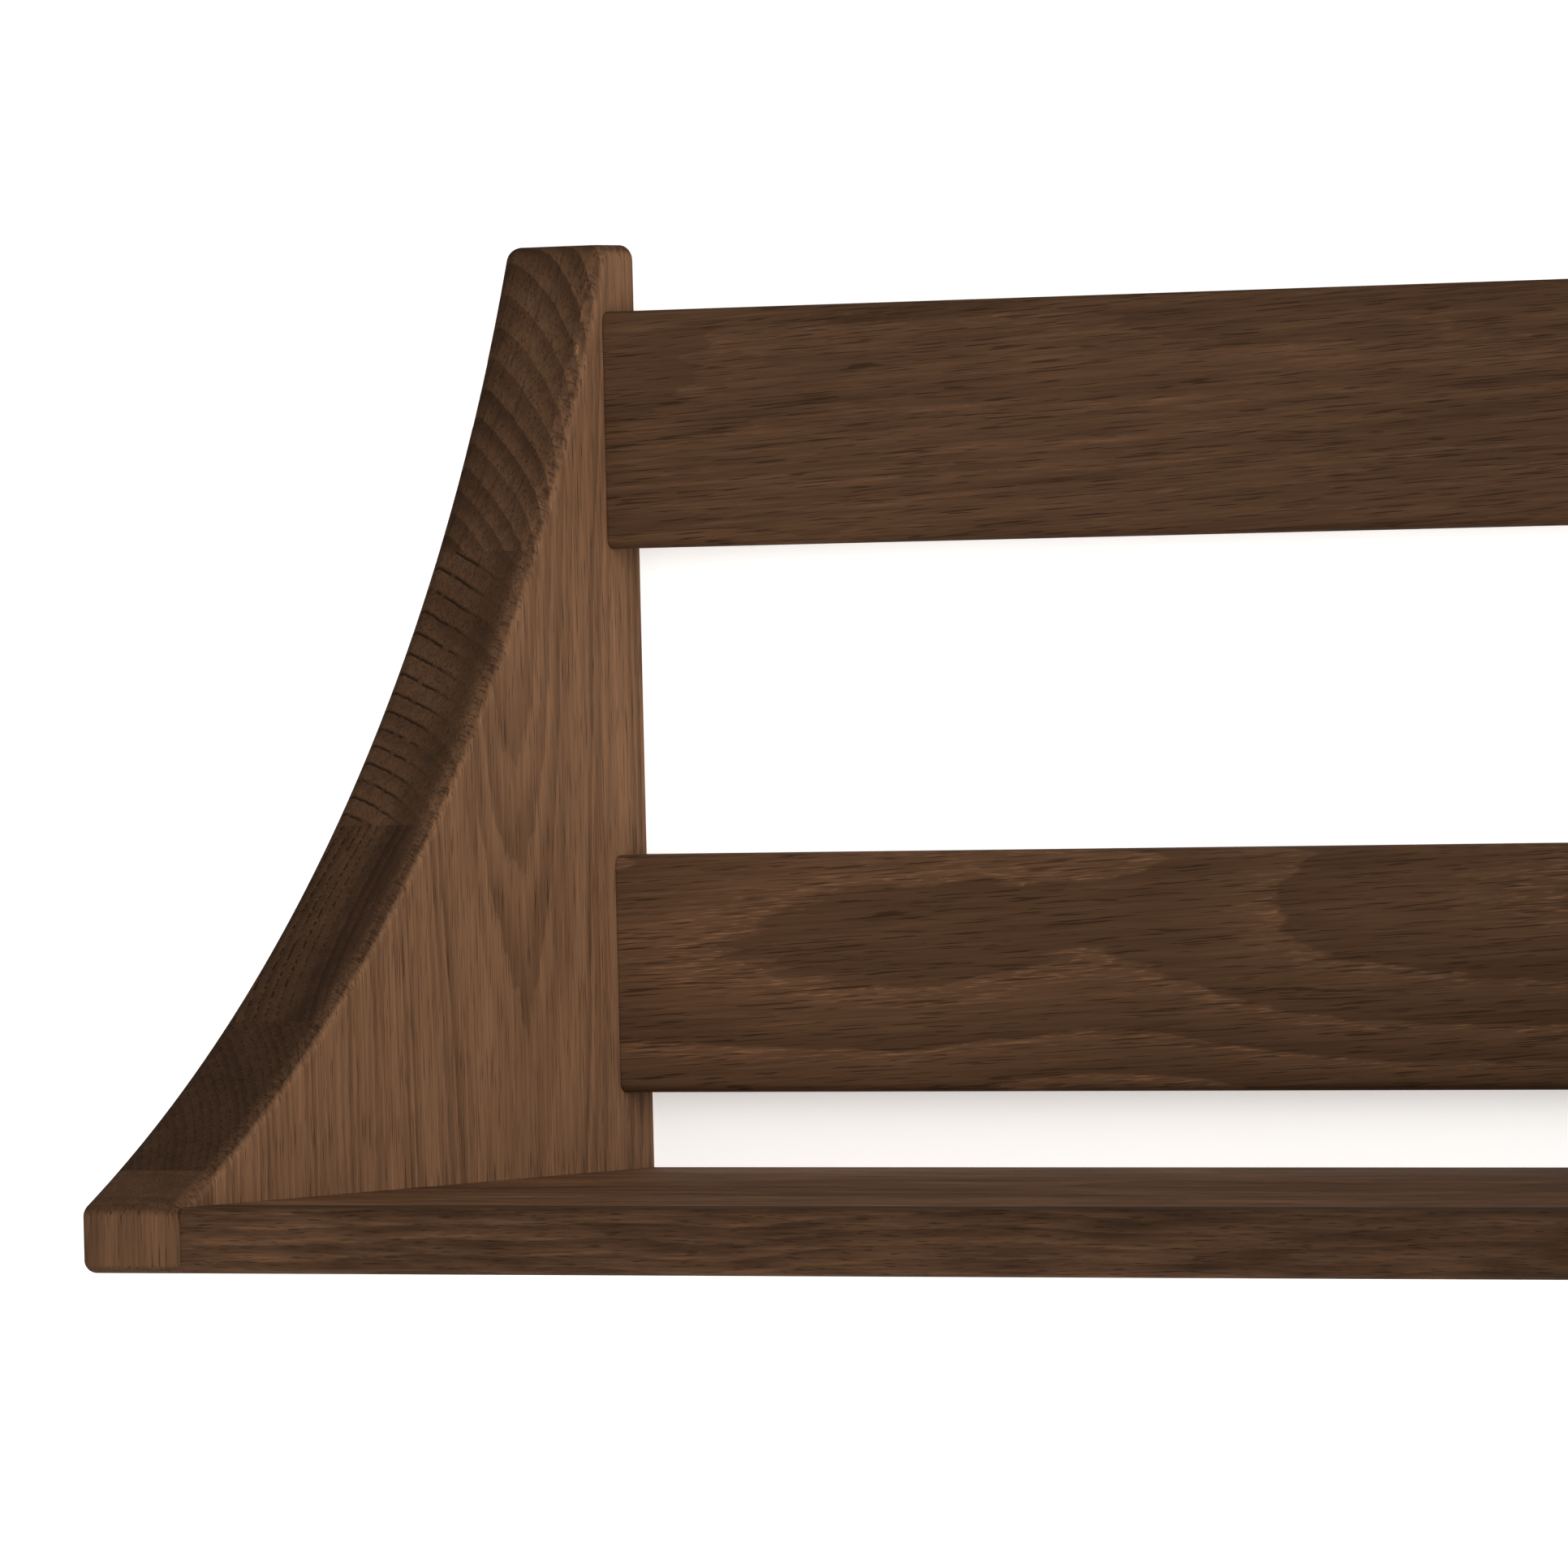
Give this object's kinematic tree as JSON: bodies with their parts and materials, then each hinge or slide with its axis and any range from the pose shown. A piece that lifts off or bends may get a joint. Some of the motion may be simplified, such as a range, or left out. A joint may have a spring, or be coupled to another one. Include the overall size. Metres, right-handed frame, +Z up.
{
  "type": "wall shelf",
  "caption": "Wall-hung oak shelf with thick concave-fronted end panels and two flat back rails, hung on keyhole plates.",
  "frame": {"origin": "midway between the entry holes of the two keyhole hangers, on the wall plane", "axes": "+X along the shelf to the viewer's right, +Y into the wall, +Z up; the front faces -Y"},
  "size_m": [0.8, 0.215, 0.25],
  "materials": {
    "oak_side": "smoked oak, satin oil",
    "oak_shelf": "smoked oak, satin oil",
    "oak_rail": "smoked oak, satin oil",
    "beech_dowel": "raw beech",
    "hanger_steel": "zinc-plated steel",
    "screw_steel": "zinc-plated steel"
  },
  "bodies": {
    "root": {"left_side_stave_1": "oak_side", "left_side_stave_2": "oak_side", "left_side_stave_3": "oak_side", "left_side_stave_4": "oak_side", "left_side_stave_5": "oak_side", "right_side_stave_1": "oak_side", "right_side_stave_2": "oak_side", "right_side_stave_3": "oak_side", "right_side_stave_4": "oak_side", "right_side_stave_5": "oak_side", "shelf_stave_1": "oak_shelf", "shelf_stave_2": "oak_shelf", "shelf_stave_3": "oak_shelf", "shelf_stave_4": "oak_shelf", "shelf_stave_5": "oak_shelf", "top_rail": "oak_rail", "lower_rail": "oak_rail", "left_rail_dowels": "beech_dowel", "left_shelf_dowels": "beech_dowel", "right_rail_dowels": "beech_dowel", "right_shelf_dowels": "beech_dowel", "left_hanger_plate": "hanger_steel", "right_hanger_plate": "hanger_steel", "hanger_screws": "screw_steel"}
  },
  "joints": []
}
